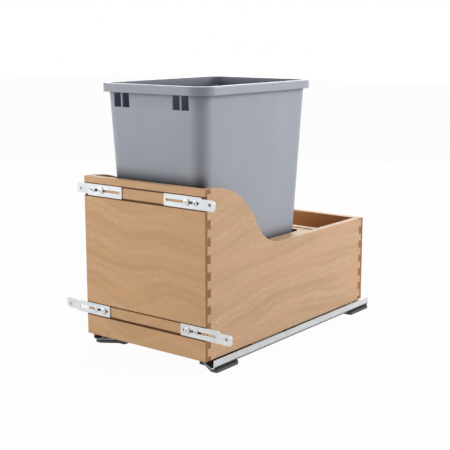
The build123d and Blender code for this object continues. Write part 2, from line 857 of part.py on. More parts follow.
def foot_shape(start_y, length, lug_start_y):
    """Plastic foot: a wide flange on the floor, a pad under the slide and a lug with a floor hole."""
    foot_outer = slide_outer + foot_outset
    pad_inner = slide_outer - slide_width
    lug_inner = slide_outer - lug_reach
    for height, thickness, inset in (
        (0, foot_flange, 0),
        (foot_flange, foot_height - foot_flange, foot_outset),
    ):
        with BuildSketch(Plane.XY.offset(height)) as layer:
            with Locations((pad_inner + inset, start_y + inset)):
                Rectangle(foot_outer - pad_inner - 2 * inset, length - 2 * inset, align=MINIMUM)
            with Locations((lug_inner + inset, lug_start_y + inset)):
                Rectangle(slide_width - inset, lug_length - 2 * inset, align=MINIMUM)
            if lug_start_y > start_y:
                Polygon(
                    (foot_outer - foot_nose + inset, start_y),
                    (pad_inner, lug_start_y + inset),
                    (pad_inner, start_y),
                    align=None,
                    mode=Mode.SUBTRACT,
                )
            fillet(layer.vertices().group_by(Axis.X)[0], foot_corner - inset)
            fillet(layer.vertices().group_by(Axis.X)[-1], foot_corner - inset)
        extrude(layer.sketch, amount=thickness)
    with Locations((lug_inner + floor_hole_inset, lug_start_y + lug_length / 2, foot_height)):
        CounterBoreHole(
            floor_hole_diameter / 2,
            floor_hole_counterbore / 2,
            floor_hole_counterbore_depth,
            foot_height,
        )
    with Locations(*[(spot_x, spot_y, foot_height) for spot_x, spot_y in slide_screw_spots]):
        Hole(slide_screw_diameter / 2 + screw_fit, slide_screw_depth)


front_foot_start = front + foot_start
rear_foot_start = front + slide_rear - rear_foot_length

with BuildPart() as front_foot_right:
    foot_shape(front_foot_start, front_foot_length, front_foot_start + front_foot_length - lug_length)

with BuildPart() as rear_foot_right:
    foot_shape(rear_foot_start, rear_foot_length, rear_foot_start)

with BuildPart() as foot_screws_right:
    with BuildSketch(Plane.XY.offset(track_floor)):
        with Locations(*slide_screw_spots):
            Circle(slide_screw_head / 2)
    extrude(amount=slide_screw_head_height)
    with BuildSketch(Plane.XY.offset(track_floor)):
        with Locations(*slide_screw_spots):
            Circle(slide_screw_diameter / 2)
    extrude(amount=-(sheet + slide_screw_depth - screw_fit))

with BuildPart() as foot_screws:
    add(foot_screws_right.part)
    mirror(foot_screws_right.part, about=Plane.YZ)

# ---------------------------------------------------------------- screws of the locking clips
with BuildPart() as clip_screws_right:
    with Locations(*[(column, clip_screw_row, clip_bottom) for column in clip_screw_columns]):
        add(countersunk_screw(clip_screw_length))

with BuildPart() as clip_screws:
    add(clip_screws_right.part)
    mirror(clip_screws_right.part, about=Plane.YZ)

# ---------------------------------------------------------------- write every piece
for name, part in {
    "front_board": front_board.part,
    "back_board": back_board.part,
    "bottom_panel": bottom_panel.part,
    "bin_platform": bin_platform.part,
    "divider_board": divider_board.part,
    "cleat_screws": cleat_screws.part,
    "bin": bin_body.part,
    "bracket_pan_screws": bracket_pan_screws.part,
    "bracket_clamp_screws": bracket_clamp_screws.part,
    "bracket_bushings": bracket_bushings.part,
    "foot_screws": foot_screws.part,
    "clip_screws": clip_screws.part,
}.items():
    finish(part, name)

for name, part in {
    "side_board": side_board_right.part,
    "platform_cleat": platform_cleat_right.part,
    "cabinet_member": cabinet_member_right.part,
    "slide_rail": slide_rail_right.part,
    "drawer_member": drawer_member_right.part,
    "lower_cage": lower_cage_right.part,
    "lower_rollers": lower_rollers_right.part,
    "upper_cage": upper_cage_right.part,
    "upper_rollers": upper_rollers_right.part,
    "damper": damper_right.part,
    "damper_plunger": damper_plunger_right.part,
    "locking_clip": locking_clip_right.part,
    "release_lever": release_lever_right.part,
    "front_foot": front_foot_right.part,
    "rear_foot": rear_foot_right.part,
}.items():
    finish(part, f"{name}_right")
    mirror_piece(part, f"{name}_left")
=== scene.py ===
"""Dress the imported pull-out trash cabinet: finishes, bracket screws, floor, lamps and camera.

Lengths are in metres. The front board faces -Y, and the floor lies at z = 0.
"""

import json
import logging
from collections.abc import Iterable
from dataclasses import dataclass, replace
from enum import Enum
from math import radians, tau

import bpy
from bpy.types import Material, Node, NodeSocket, NodeTree, Object
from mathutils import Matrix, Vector


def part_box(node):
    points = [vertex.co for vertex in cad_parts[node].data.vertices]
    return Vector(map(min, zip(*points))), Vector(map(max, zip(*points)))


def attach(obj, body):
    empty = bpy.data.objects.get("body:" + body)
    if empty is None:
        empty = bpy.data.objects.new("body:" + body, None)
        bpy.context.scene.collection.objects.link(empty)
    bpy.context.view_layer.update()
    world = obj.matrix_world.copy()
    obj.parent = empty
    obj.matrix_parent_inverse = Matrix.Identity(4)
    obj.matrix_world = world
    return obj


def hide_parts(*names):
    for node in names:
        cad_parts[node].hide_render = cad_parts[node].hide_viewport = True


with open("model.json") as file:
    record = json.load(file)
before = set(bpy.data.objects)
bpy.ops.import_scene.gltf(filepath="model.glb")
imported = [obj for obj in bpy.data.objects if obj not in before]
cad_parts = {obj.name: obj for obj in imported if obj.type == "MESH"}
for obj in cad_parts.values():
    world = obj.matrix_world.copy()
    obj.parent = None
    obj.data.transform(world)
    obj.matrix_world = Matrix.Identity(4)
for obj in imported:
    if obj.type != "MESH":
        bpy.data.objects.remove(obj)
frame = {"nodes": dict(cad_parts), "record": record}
log = logging.getLogger("trash_cabinet")
Pair = tuple[float, float]
Triple = tuple[float, float, float]
FLOAT, VECTOR, GEOMETRY = "NodeSocketFloat", "NodeSocketVector", "NodeSocketGeometry"


# ---------------------------------------------------------------- node helpers
class Web:
    """Adds and joins nodes in one tree."""

    def __init__(self, tree: NodeTree) -> None:
        """Keep the tree that is filled."""
        self.tree = tree

    def join(self, start: NodeSocket, end: NodeSocket) -> None:
        """Link an output to an input."""
        self.tree.links.new(start, end)

    def add(self, kind: str, values: dict | None = None, **settings: object) -> Node:
        """Add a node and fill its inputs.

        Args:
            kind: the node's class name.
            values: input name or number to a socket to link or a value to set.
            settings: node properties.

        Returns:
            The new node.
        """
        node = self.tree.nodes.new(kind)
        for name, value in settings.items():
            setattr(node, name, value)
        for key, value in (values or {}).items():
            if isinstance(value, NodeSocket):
                self.join(value, node.inputs[key])
            else:
                node.inputs[key].default_value = value
        return node

    def math(self, operation: str, *terms: object, clamp: bool = False) -> NodeSocket:
        """Add a Math node.

        Args:
            operation: the operation's name.
            terms: sockets or numbers, in order.
            clamp: whether the result stays between 0 and 1.

        Returns:
            The result's socket.
        """
        node = self.add("ShaderNodeMath", dict(enumerate(terms)), operation=operation)
        node.use_clamp = clamp
        return node.outputs[0]

    def vector(self, operation: str, *terms: object) -> NodeSocket:
        """Add a Vector Math node.

        Args:
            operation: the operation's name.
            terms: sockets or triples, in order.

        Returns:
            The result's socket, a number for a length or a dot product and else a vector.
        """
        node = self.add("ShaderNodeVectorMath", dict(enumerate(terms)), operation=operation)
        return node.outputs["Value" if operation in ("LENGTH", "DOT_PRODUCT") else "Vector"]

    def split(self, vector: NodeSocket) -> tuple[NodeSocket, ...]:
        """Split a vector into its x, y and z."""
        return tuple(self.add("ShaderNodeSeparateXYZ", {0: vector}).outputs)

    def fade(
        self, value: NodeSocket, low: float, high: float, start: float = 0.0, end: float = 1.0,
    ) -> NodeSocket:
        """Map a value smoothly from one range to another.

        Args:
            value: the socket to map.
            low: the value that gives start.
            high: the value that gives end.
            start: the result at low.
            end: the result at high.

        Returns:
            The mapped value's socket.
        """
        node = self.add(
            "ShaderNodeMapRange",
            {"Value": value, "From Min": low, "From Max": high, "To Min": start, "To Max": end},
            interpolation_type="SMOOTHSTEP",
        )
        return node.outputs["Result"]

    def mix(self, factor: NodeSocket, first: object, second: object) -> NodeSocket:
        """Mix two colours.

        Args:
            factor: how much of the second.
            first: a socket or an RGB triple.
            second: a socket or an RGB triple.

        Returns:
            The mixed colour's socket.
        """
        colours = {
            key: (*colour, 1.0) if isinstance(colour, tuple) else colour
            for key, colour in ((6, first), (7, second))
        }
        return self.add("ShaderNodeMix", {0: factor, **colours}, data_type="RGBA").outputs[2]

    def noise(
        self, vector: NodeSocket, stretch: Triple, detail: float = 2.0, rough: float = 0.5,
    ) -> NodeSocket:
        """Add noise that is stretched along the axes.

        Args:
            vector: the coordinates.
            stretch: how often the pattern changes per metre along x, y and z.
            detail: octaves of finer noise.
            rough: strength of the finer noise.

        Returns:
            The noise value, about 0 to 1.
        """
        placed = self.add("ShaderNodeMapping", {"Vector": vector, "Scale": stretch})
        node = self.add(
            "ShaderNodeTexNoise",
            {"Vector": placed.outputs[0], "Scale": 1.0, "Detail": detail, "Roughness": rough},
        )
        return node.outputs[0]

    def effect(self, group: NodeTree, values: dict[str, object]) -> Node:
        """Place a shared node group with its values."""
        return self.add("ShaderNodeGroup", values, node_tree=group)


class EffectGroup:
    """A shader node group with named inputs and outputs."""

    def __init__(self, name: str, inputs: dict[str, str], outputs: dict[str, str]) -> None:
        """Make the group and its sockets.

        Args:
            name: the group's name.
            inputs: socket name to socket type.
            outputs: socket name to socket type.
        """
        self.tree = bpy.data.node_groups.new(name, "ShaderNodeTree")
        for side, sockets in (("INPUT", inputs), ("OUTPUT", outputs)):
            for label, kind in sockets.items():
                self.tree.interface.new_socket(label, in_out=side, socket_type=kind)
        self.web = Web(self.tree)
        self.given = self.web.add("NodeGroupInput").outputs
        self.result = self.web.add("NodeGroupOutput").inputs

    def give(self, label: str, socket: NodeSocket) -> None:
        """Join a socket to one of the group's outputs."""
        self.web.join(socket, self.result[label])


@dataclass(frozen=True)
class Effects:
    """The node groups that several materials share."""

    figure: NodeTree
    arris: NodeTree
    line: NodeTree
    pebble: NodeTree
    brushing: NodeTree
    grime: NodeTree
    shelter: NodeTree


def figure_group() -> NodeTree:
    """Build the wood figure: waving growth bands, fibres, flecks and pores along X.

    Returns:
        The node group.
    """
    sway_length, slope_across, waver_reach = 0.2, 0.6, 0.016
    slow_rate, slow_share, streak_share = 0.37, 0.55, 0.45
    group = EffectGroup(
        "wood_figure",
        {"Vector": VECTOR, "Band Pitch": FLOAT, "Wander": FLOAT, "Arch": FLOAT, "Sway": FLOAT},
        {"Bands": FLOAT, "Fibre": FLOAT, "Pores": FLOAT, "Fleck": FLOAT},
    )
    web, given = group.web, group.given
    vector = given["Vector"]
    x, y, z = web.split(vector)
    drift = web.noise(vector, (3.4, 9.0, 7.0), detail=2.0, rough=0.45)
    waver = web.noise(vector, (9.0, 22.0, 20.0), detail=1.0, rough=0.4)
    arch = web.math("MULTIPLY", web.math("MULTIPLY", x, x), given["Arch"])
    swing = web.math("SINE", web.math("MULTIPLY", x, tau / sway_length))
    rise = web.math("ADD", web.math("MULTIPLY_ADD", y, slope_across, z), arch)
    rise = web.math("MULTIPLY_ADD", swing, given["Sway"], rise)
    bent = web.math("MULTIPLY_ADD", web.math("SUBTRACT", drift, 0.5), given["Wander"], rise)
    bent = web.math("MULTIPLY_ADD", web.math("SUBTRACT", waver, 0.5), waver_reach, bent)
    turns = web.math("DIVIDE", bent, given["Band Pitch"])
    wave = web.math("SINE", web.math("MULTIPLY", turns, tau))
    slow = web.math("SINE", web.math("MULTIPLY", turns, tau * slow_rate))
    both = web.math("MULTIPLY_ADD", slow, slow_share, web.math("MULTIPLY", wave, 1.0 - slow_share))
    clear_or_faint = web.noise(vector, (4.0, 9.0, 8.0), detail=1.0)
    strength = web.fade(clear_or_faint, 0.35, 0.6, start=0.3)
    group.give("Bands", web.math("MULTIPLY_ADD", web.math("MULTIPLY", both, strength), 0.5, 0.5))
    fibre = web.noise(vector, (16.0, 420.0, 420.0), detail=3.0, rough=0.6)
    streak = web.math("MULTIPLY", web.noise(vector, (5.0, 95.0, 95.0)), streak_share)
    group.give("Fibre", web.math("MULTIPLY_ADD", fibre, 1.0 - streak_share, streak))
    pores = web.noise(vector, (95.0, 1500.0, 1500.0), detail=1.0)
    group.give("Pores", web.fade(pores, 0.6, 0.75))
    flecks = web.noise(vector, (170.0, 330.0, 330.0), detail=3.0, rough=0.75)
    group.give("Fleck", web.fade(flecks, 0.36, 0.64))
    return group.tree


def arris_group() -> NodeTree:
    """Build a mask that is 1 along the edges of a box given by its two corners.

    Returns:
        The node group.
    """
    narrowest, raggedness = 0.4, 1.2
    group = EffectGroup(
        "board_arris",
        {"Vector": VECTOR, "Low": VECTOR, "High": VECTOR, "Width": FLOAT},
        {"Mask": FLOAT},
    )
    web, given = group.web, group.given
    ragged = web.noise(given["Vector"], (60.0, 60.0, 60.0))
    width = web.math("MULTIPLY", given["Width"], web.math("MULTIPLY_ADD", ragged, raggedness, narrowest))
    near = []
    for point, low, high in zip(*(web.split(given[label]) for label in ("Vector", "Low", "High"))):
        gap = web.math("MINIMUM", web.math("SUBTRACT", point, low), web.math("SUBTRACT", high, point))
        near.append(web.math("SUBTRACT", 1.0, web.math("DIVIDE", gap, width), clamp=True))
    near_x, near_y, near_z = near
    edges = [
        web.math("MINIMUM", first, second)
        for first, second in ((near_x, near_y), (near_y, near_z), (near_x, near_z))
    ]
    group.give("Mask", web.math("MAXIMUM", web.math("MAXIMUM", edges[0], edges[1]), edges[2]))
    return group.tree


def line_group() -> NodeTree:
    """Build a mask that is 1 on a thin line where a value meets a place.

    Returns:
        The node group.
    """
    group = EffectGroup("thin_line", {"Value": FLOAT, "Place": FLOAT, "Width": FLOAT}, {"Mask": FLOAT})
    web, given = group.web, group.given
    gap = web.math("ABSOLUTE", web.math("SUBTRACT", given["Value"], given["Place"]))
    share = web.math("DIVIDE", gap, given["Width"])
    group.give("Mask", web.fade(share, 0.5, 1.0, start=1.0, end=0.0))
    return group.tree


def pebble_group() -> NodeTree:
    """Build the fine texture of moulded plastic, with a slow change of tone.

    Returns:
        The node group.
    """
    group = EffectGroup(
        "moulded_pebble", {"Vector": VECTOR, "Grain": FLOAT}, {"Height": FLOAT, "Tone": FLOAT},
    )
    web, given = group.web, group.given
    scaled = web.add(
        "ShaderNodeVectorMath", {"Vector": given["Vector"], "Scale": given["Grain"]}, operation="SCALE",
    ).outputs[0]
    cells = web.add("ShaderNodeTexVoronoi", {"Vector": scaled, "Scale": 1.0}).outputs["Distance"]
    fine = web.noise(scaled, (1.7, 1.7, 1.7))
    group.give("Height", web.math("MULTIPLY_ADD", fine, 0.5, web.math("MULTIPLY", cells, 0.5)))
    group.give("Tone", web.noise(given["Vector"], (9.0, 9.0, 3.0), detail=3.0, rough=0.6))
    return group.tree


def brushing_group() -> NodeTree:
    """Build rolling marks along X and the mottle of zinc plate.

    Returns:
        The node group.
    """
    group = EffectGroup("zinc_brushing", {"Vector": VECTOR}, {"Marks": FLOAT, "Mottle": FLOAT})
    web, vector = group.web, group.given["Vector"]
    group.give("Marks", web.noise(vector, (14.0, 1300.0, 1300.0), detail=2.0, rough=0.6))
    group.give("Mottle", web.noise(vector, (32.0, 60.0, 60.0), detail=3.0, rough=0.6))
    return group.tree


def grime_group() -> NodeTree:
    """Build a soft uneven film of dust and handling marks.

    Returns:
        The node group.
    """
    group = EffectGroup("handling_film", {"Vector": VECTOR, "Amount": FLOAT}, {"Mask": FLOAT})
    web, given = group.web, group.given
    cloud = web.noise(given["Vector"], (7.0, 7.0, 7.0), detail=4.0, rough=0.6)
    group.give("Mask", web.math("MULTIPLY", web.fade(cloud, 0.42, 0.75), given["Amount"]))
    return group.tree


def shelter_group() -> NodeTree:
    """Build the mask of painted shade for a surface that faces one way and lies in a band where little
    light reaches.

    Returns:
        The node group.
    """
    foot_feather = 0.6
    group = EffectGroup(
        "sheltered_band",
        {"Value": FLOAT, "Dark": FLOAT, "Clear": FLOAT, "Foot": FLOAT, "Facing": FLOAT},
        {"Mask": FLOAT},
    )
    web, given = group.web, group.given
    span = web.math("SUBTRACT", given["Clear"], given["Dark"])
    share = web.math("DIVIDE", web.math("SUBTRACT", given["Clear"], given["Value"]), span, clamp=True)
    above = web.math("SUBTRACT", given["Value"], web.math("SUBTRACT", given["Dark"], given["Foot"]))
    ending = web.math("DIVIDE", above, web.math("MULTIPLY", given["Foot"], foot_feather), clamp=True)
    turned = web.fade(given["Facing"], 0.15, 0.75)
    group.give("Mask", web.math("MULTIPLY", web.math("MULTIPLY", share, ending), turned))
    return group.tree


# ---------------------------------------------------------------- finishes
class Grain(Enum):
    """Turn that lays the pattern's X along the fibres or the rolling marks."""

    ACROSS = (0.0, 0.0, 0.0)
    ALONG = (0.0, 0.0, radians(-90.0))


class Side(Enum):
    """Way that a sheltered wall faces."""

    FRONT = (0.0, -1.0, 0.0)
    RIGHT = (1.0, 0.0, 0.0)


@dataclass(frozen=True)
class Shelter:
    """A band of heights where a wall gets little light, and where shade is painted into its colour.

    Attributes:
        dark: the height where the shade is full.
        clear: the height where it ends.
        strength: how much of the shade shows.
        facing: the way the wall faces, or None where it faces the axis.
        axis: x and y of an upright axis.
        power: below 1 the shade holds on towards clear, above 1 it fades sooner.
        depth: what is left of the finish's colour in full shade.
        before: the y behind which the shade fades out, or None for all depths.
        before_fade: the length of that fade.
        foot: how far the shade goes on below dark.
        contact: how much of the sky must be hidden for full shade, or None for no such test.
        contact_reach: how near the thing that hides it has to be.
        corner_relief: how much lighter the shade is in rounded corners.
    """

    dark: float
    clear: float
    strength: float
    facing: Side | None = None
    axis: Pair = (0.0, 0.0)
    power: float = 1.0
    depth: Triple = (0.04, 0.04, 0.04)
    before: float | None = None
    before_fade: float = 0.1
    foot: float = 2.0
    contact: float | None = None
    contact_reach: float = 0.05
    corner_relief: float = 0.0


@dataclass(frozen=True)
class Line:
    """A dark line at a height, used as painted shade along an edge, a step or a bend."""

    place: float
    width: float


@dataclass(frozen=True)
class Detail:
    """How strongly a detail shows, and what it leaves of the finish's red, green and blue."""

    strength: float
    tint: Triple


def tinted(colour: Triple, tint: Triple) -> Triple:
    """Multiply a colour by a share for each of red, green and blue."""
    return tuple(part * share for part, share in zip(colour, tint))


@dataclass(frozen=True)
class Finish:
    """What every finish shares."""

    name: str
    colour: Triple
    roughness: float

    def start(self) -> tuple[Material, Web, Node, NodeSocket]:
        """Make the material with its shader and coordinates.

        Returns:
            The material, its web, the shader and the object coordinates.
        """
        material = bpy.data.materials.new(self.name)
        material.use_nodes = True
        web = Web(material.node_tree)
        shader = material.node_tree.nodes["Principled BSDF"]
        shader.inputs["Roughness"].default_value = self.roughness
        return material, web, shader, web.add("ShaderNodeTexCoord").outputs["Object"]

    def bump(self, web: Web, shader: Node, height: NodeSocket, depth: float, strength: float) -> None:
        """Give the shader a bumped normal.

        Args:
            web: the material's web.
            shader: its shader.
            height: the height socket.
            depth: what a height of 1 measures.
            strength: how much of it shows.
        """
        node = web.add("ShaderNodeBump", {"Strength": strength, "Distance": depth, "Height": height})
        web.join(node.outputs[0], shader.inputs["Normal"])

    def gloss(self, web: Web, pattern: NodeSocket, change: float) -> NodeSocket:
        """Let the roughness change with a pattern, around its plain value."""
        return web.math("MULTIPLY_ADD", pattern, change, self.roughness - change / 2)

    def lay(self, web: Web, tone: NodeSocket, mask: NodeSocket, detail: Detail) -> NodeSocket:
        """Lay a detail over the colour where its mask is."""
        factor = web.math("MULTIPLY", mask, detail.strength)
        return web.mix(factor, tone, tinted(self.colour, detail.tint))

    def film_mask(self, effects: Effects, web: Web, place: NodeSocket, film: Detail) -> NodeSocket:
        """Place the mask of dust and handling marks."""
        return web.effect(effects.grime, {"Vector": place, "Amount": film.strength}).outputs["Mask"]

    def line_mask(self, effects: Effects, web: Web, height: NodeSocket, line: Line) -> NodeSocket:
        """Place a line's mask."""
        values = {"Value": height, "Place": line.place, "Width": line.width}
        return web.effect(effects.line, values).outputs["Mask"]

    def facing_share(self, web: Web, place: NodeSocket, shelter: Shelter) -> NodeSocket:
        """Tell how far the surface faces the way of a shelter.

        Args:
            web: the material's web.
            place: the object coordinates.
            shelter: the shelter.

        Returns:
            A value that is 1 for a surface that faces just that way.
        """
        normal = web.add("ShaderNodeTexCoord").outputs["Normal"]
        if shelter.facing is None:
            inward = web.vector("SUBTRACT", (*shelter.axis, 0.0), place)
            level = web.vector("MULTIPLY", inward, (1.0, 1.0, 0.0))
            turned = web.vector("DOT_PRODUCT", normal, web.vector("NORMALIZE", level))
        else:
            turned = web.vector("DOT_PRODUCT", normal, shelter.facing.value)
        if shelter.corner_relief:
            normal_x, normal_y, _ = web.split(normal)
            slant = web.math("ABSOLUTE", web.math("MULTIPLY", normal_x, normal_y))
            relief = web.math("MULTIPLY_ADD", slant, -shelter.corner_relief, 1.0)
            turned = web.math("MULTIPLY", turned, relief)
        return turned

    def darken(
        self, effects: Effects, web: Web, place: NodeSocket, tone: NodeSocket, shelter: Shelter,
    ) -> tuple[NodeSocket, NodeSocket]:
        """Paint shade into the colour where a wall is sheltered.

        Args:
            effects: the shared node groups.
            web: the material's web.
            place: the object coordinates.
            tone: the colour so far.
            shelter: the band and the way it faces.

        Returns:
            The colour with the painted shade, and how much of the shade shows.
        """
        _, along, height = web.split(place)
        band = web.effect(effects.shelter, {
            "Value": height, "Dark": shelter.dark, "Clear": shelter.clear, "Foot": shelter.foot,
            "Facing": self.facing_share(web, place, shelter),
        })
        amount = web.math("POWER", band.outputs["Mask"], shelter.power)
        amount = web.math("MULTIPLY", amount, shelter.strength)
        if shelter.before is not None:
            end = shelter.before + shelter.before_fade
            amount = web.math("MULTIPLY", amount, web.fade(along, shelter.before, end, 1.0, 0.0))
        # The painted shade is kept only where ambient occlusion finds something near.
        if shelter.contact is not None:
            values = {"Distance": shelter.contact_reach}
            open_sky = web.add("ShaderNodeAmbientOcclusion", values, samples=8).outputs["AO"]
            amount = web.math("MULTIPLY", amount, web.fade(open_sky, 1.0, 1.0 - shelter.contact))
        return web.mix(amount, tone, tinted(self.colour, shelter.depth)), amount


@dataclass(frozen=True)
class WoodFinish(Finish):
    """Lacquered tan hardwood with a waving figure."""

    grain: Grain = Grain.ACROSS
    shift: Triple = (0.0, 0.0, 0.0)
    band_pitch: float = 0.02
    wander: float = 0.16
    arch: float = 0.3
    sway: float = 0.0
    figure_depth: float = 1.0
    light_tint: Triple = (1.13, 1.15, 1.18)
    dark_tint: Triple = (0.88, 0.82, 0.75)
    fibre: Detail = Detail(0.3, (0.84, 0.77, 0.69))
    fleck: Detail = Detail(0.85, (0.84, 0.79, 0.71))
    rosy: Detail = Detail(0.6, (1.04, 0.93, 0.91))
    pores: Detail = Detail(0.12, (0.55, 0.48, 0.42))
    arris: Detail = Detail(0.35, (0.72, 0.62, 0.52))
    arris_width: float = 0.0016
    film: Detail = Detail(0.12, (0.9, 0.88, 0.86))
    # Colour of the dado-edge lines, partly painted shade.
    line_colour: Triple = (0.095, 0.034, 0.008)
    line_reach: float = 0.006
    end_colour: Triple = (0.28, 0.125, 0.045)
    late_ring: Triple = (1.2, 1.2, 1.2)
    early_ring: Triple = (0.8, 0.76, 0.72)
    gloss_level: float = 0.22
    gloss_change: float = 0.16
    relief_depth: float = 0.0003
    pore_relief: float = -0.6
    shelters: tuple[Shelter, ...] = ()

    def make(self, effects: Effects, low: Vector, high: Vector, lines: Iterable[Line] = ()) -> Material:
        """Build the material for one board.

        Args:
            effects: the shared node groups.
            low: the board's lowest corner.
            high: the board's highest corner.
            lines: dark lines along the dado edges across the front face, partly painted shade.

        Returns:
            The material.
        """
        material, web, shader, place = self.start()
        shader.inputs["Specular IOR Level"].default_value = self.gloss_level
        turned = web.add("ShaderNodeMapping", {"Vector": place, "Rotation": self.grain.value})
        moved = web.add("ShaderNodeMapping", {"Vector": turned.outputs[0], "Location": self.shift})
        figure = web.effect(effects.figure, {
            "Vector": moved.outputs[0], "Band Pitch": self.band_pitch, "Wander": self.wander,
            "Arch": self.arch, "Sway": self.sway,
        }).outputs
        bands = web.math("MULTIPLY", web.fade(figure["Bands"], 0.1, 0.9), self.figure_depth)
        tone = web.mix(bands, tinted(self.colour, self.light_tint), tinted(self.colour, self.dark_tint))
        patches = web.noise(place, (5.0, 5.0, 16.0))
        for mask, detail in (
            (web.fade(figure["Fibre"], 0.34, 0.66), self.fibre),
            (figure["Fleck"], self.fleck),
            (web.fade(patches, 0.4, 0.65), self.rosy),
            (figure["Pores"], self.pores),
        ):
            tone = self.lay(web, tone, mask, detail)
        tone = self.end_grain(web, place, tone)
        corners = {"Vector": place, "Low": low, "High": high, "Width": self.arris_width}
        tone = self.lay(web, tone, web.effect(effects.arris, corners).outputs["Mask"], self.arris)
        film = self.film_mask(effects, web, place, self.film)
        tone = web.mix(film, tone, tinted(self.colour, self.film.tint))
        _, along, height = web.split(place)
        in_front = web.math("LESS_THAN", along, low.y + self.line_reach)
        # Dark lines at the dado edges, partly painted shade.
        for line in lines:
            mask = web.math("MULTIPLY", self.line_mask(effects, web, height, line), in_front)
            tone = web.mix(mask, tone, self.line_colour)
        for shelter in self.shelters:
            tone, _ = self.darken(effects, web, place, tone, shelter)
        web.join(tone, shader.inputs["Base Color"])
        web.join(self.gloss(web, figure["Fibre"], self.gloss_change), shader.inputs["Roughness"])
        relief = web.math("MULTIPLY_ADD", figure["Pores"], self.pore_relief, figure["Fibre"])
        self.bump(web, shader, relief, self.relief_depth, strength=0.35)
        return material

    def end_grain(self, web: Web, place: NodeSocket, tone: NodeSocket) -> NodeSocket:
        """Darken the faces that cut across the fibres.

        Args:
            web: the material's web.
            place: the object coordinates.
            tone: the colour so far.

        Returns:
            The colour with end grain.
        """
        facing = web.split(web.add("ShaderNodeTexCoord").outputs["Normal"])
        axis = {Grain.ACROSS: 0, Grain.ALONG: 1}[self.grain]
        mask = web.fade(web.math("ABSOLUTE", facing[axis]), 0.75, 0.95)
        rings = web.fade(web.noise(place, (420.0, 420.0, 60.0), detail=3.0, rough=0.65), 0.3, 0.7)
        cut = web.mix(
            rings, tinted(self.end_colour, self.late_ring), tinted(self.end_colour, self.early_ring),
        )
        return web.mix(mask, tone, cut)


@dataclass(frozen=True)
class PlasticFinish(Finish):
    """Moulded plastic with a fine pebble."""

    grain: float = 900.0
    depth: float = 0.00006
    tone_change: float = 0.1
    speck: Detail = Detail(0.10, (0.7, 0.7, 0.72))
    film: Detail = Detail(0.08, (0.85, 0.85, 0.85))
    dust: Triple = (0.03, 0.028, 0.024)
    gloss_change: float = 0.14
    shade_dullness: float = 0.6
    # Tint of the dark lines, which are painted shade.
    shade_line_tint: Triple = (0.1, 0.1, 0.1)
    lines: tuple[Line, ...] = ()
    shelters: tuple[Shelter, ...] = ()

    def make(self, effects: Effects) -> Material:
        """Build the material.

        Args:
            effects: the shared node groups.

        Returns:
            The material.
        """
        material, web, shader, place = self.start()
        pebble = web.effect(effects.pebble, {"Vector": place, "Grain": self.grain}).outputs
        darker, lighter = (
            tinted(self.colour, (1.0 + change,) * 3) for change in (-self.tone_change, self.tone_change)
        )
        tone = web.mix(web.fade(pebble["Tone"], 0.3, 0.7), darker, lighter)
        tone = self.lay(web, tone, web.fade(pebble["Height"], 0.35, 0.75), self.speck)
        dusty = tuple(
            part + grey for part, grey in zip(tinted(self.colour, self.film.tint), self.dust)
        )
        tone = web.mix(self.film_mask(effects, web, place, self.film), tone, dusty)
        dull: NodeSocket | float = 0.0
        for shelter in self.shelters:
            tone, amount = self.darken(effects, web, place, tone, shelter)
            dull = web.math("MAXIMUM", dull, amount)
        height = web.split(place)[2]
        # Dark lines of painted shade at steps and edges.
        for line in self.lines:
            mask = self.line_mask(effects, web, height, line)
            tone = web.mix(mask, tone, tinted(self.colour, self.shade_line_tint))
        web.join(tone, shader.inputs["Base Color"])
        gloss = self.gloss(web, pebble["Height"], self.gloss_change)
        gloss = web.math("MULTIPLY_ADD", dull, self.shade_dullness, gloss)
        web.join(gloss, shader.inputs["Roughness"])
        self.bump(web, shader, pebble["Height"], self.depth, strength=0.5)
        return material


